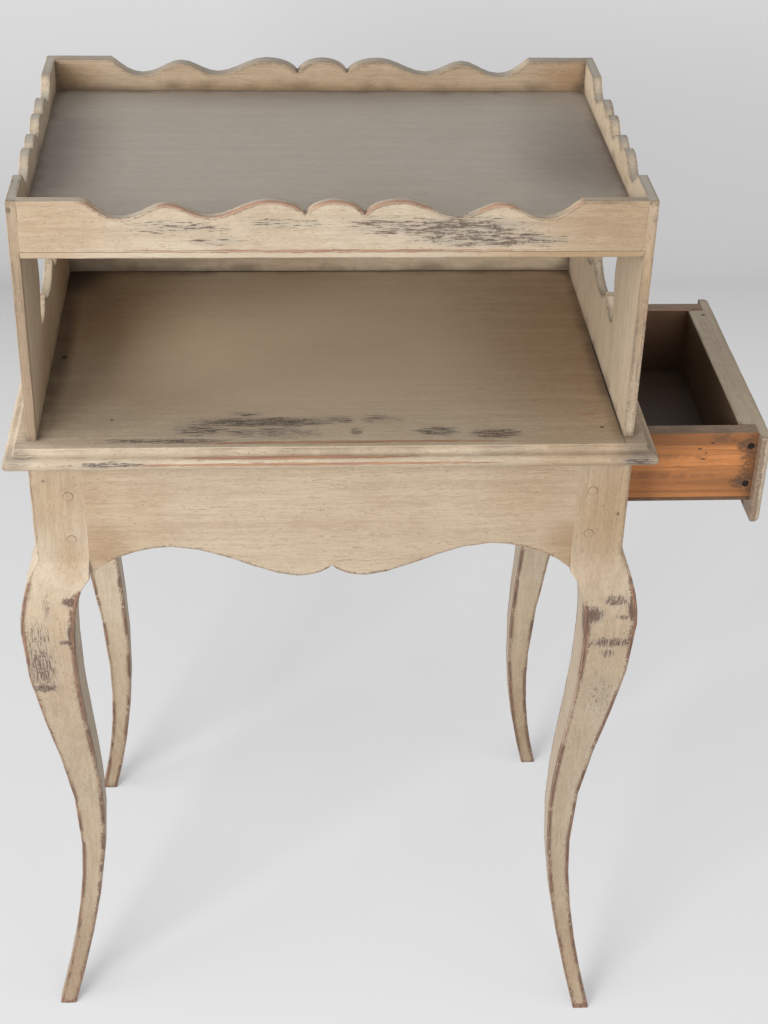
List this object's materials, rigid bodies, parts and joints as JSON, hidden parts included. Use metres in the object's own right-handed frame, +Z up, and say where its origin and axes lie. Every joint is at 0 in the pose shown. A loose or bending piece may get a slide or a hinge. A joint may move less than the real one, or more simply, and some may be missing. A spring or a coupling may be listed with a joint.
{
  "type": "bedside table",
  "caption": "Bedside table on slim cabriole legs, with a scallop-edged tray over an open niche and a drawer that slides out of its right side.",
  "frame": {"origin": "on the floor, under the middle of the table's box with the drawer open as pictured", "axes": "+Z up, -Y towards the open front of the niche, +X the way the drawer comes out"},
  "size_m": [0.5988, 0.3657, 0.798],
  "materials": {
    "cream_paint": "matt cream paint over wood, worn through to red-brown at the edges",
    "grey_tray_paint": "grey-brown paint, rubbed to a slight sheen",
    "orange_pine": "bare orange-brown pine",
    "dark_pine": "bare pine, darkened by age",
    "peg_paint": "painted over",
    "black_iron": "forged, black with rust"
  },
  "bodies": {
    "table": {"leg_front_left": "cream_paint", "leg_front_right": "cream_paint", "leg_back_left": "cream_paint", "leg_back_right": "cream_paint", "apron_front": "cream_paint", "apron_back": "cream_paint", "apron_left": "cream_paint", "drawer_rail": "cream_paint", "table_top": "cream_paint", "side_panel_left": "cream_paint", "side_panel_right": "cream_paint", "back_panel": "cream_paint", "front_gallery_rail": "cream_paint", "drawer_runner_front": "dark_pine", "drawer_runner_back": "dark_pine", "drawer_guide_front": "dark_pine", "drawer_guide_back": "dark_pine", "glue_block_front_left": "dark_pine", "glue_block_front_right": "dark_pine", "glue_block_back_left": "dark_pine", "glue_block_back_right": "dark_pine", "peg_apron_front_left_low": "peg_paint", "peg_apron_front_left_high": "peg_paint", "peg_apron_front_right_low": "peg_paint", "peg_apron_front_right_high": "peg_paint", "peg_apron_back_left_low": "peg_paint", "peg_apron_back_left_high": "peg_paint", "peg_apron_back_right_low": "peg_paint", "peg_apron_back_right_high": "peg_paint", "peg_apron_left_front_low": "peg_paint", "peg_apron_left_front_high": "peg_paint", "peg_apron_left_back_low": "peg_paint", "peg_apron_left_back_high": "peg_paint", "nail_tray_front_left": "black_iron", "nail_tray_front_right": "black_iron", "nail_tray_back_left": "black_iron", "nail_tray_back_right": "black_iron", "nail_gallery_left": "black_iron", "nail_gallery_right": "black_iron", "nail_back_low_left": "black_iron", "nail_back_low_right": "black_iron", "nail_back_high_left": "black_iron", "nail_back_high_right": "black_iron", "tray_board": "grey_tray_paint"},
    "drawer": {"drawer_front": "cream_paint", "drawer_side_front": "orange_pine", "drawer_side_back": "orange_pine", "drawer_back": "dark_pine", "drawer_bottom": "dark_pine", "nail_drawer_front_low": "black_iron", "nail_drawer_front_high": "black_iron", "nail_drawer_back_low": "black_iron", "nail_drawer_back_high": "black_iron"}
  },
  "joints": [
    {"name": "drawer_slide", "type": "slide", "parent": "table", "child": "drawer", "axis": [1, 0, 0], "range_m": [-0.11, 0.15]}
  ]
}
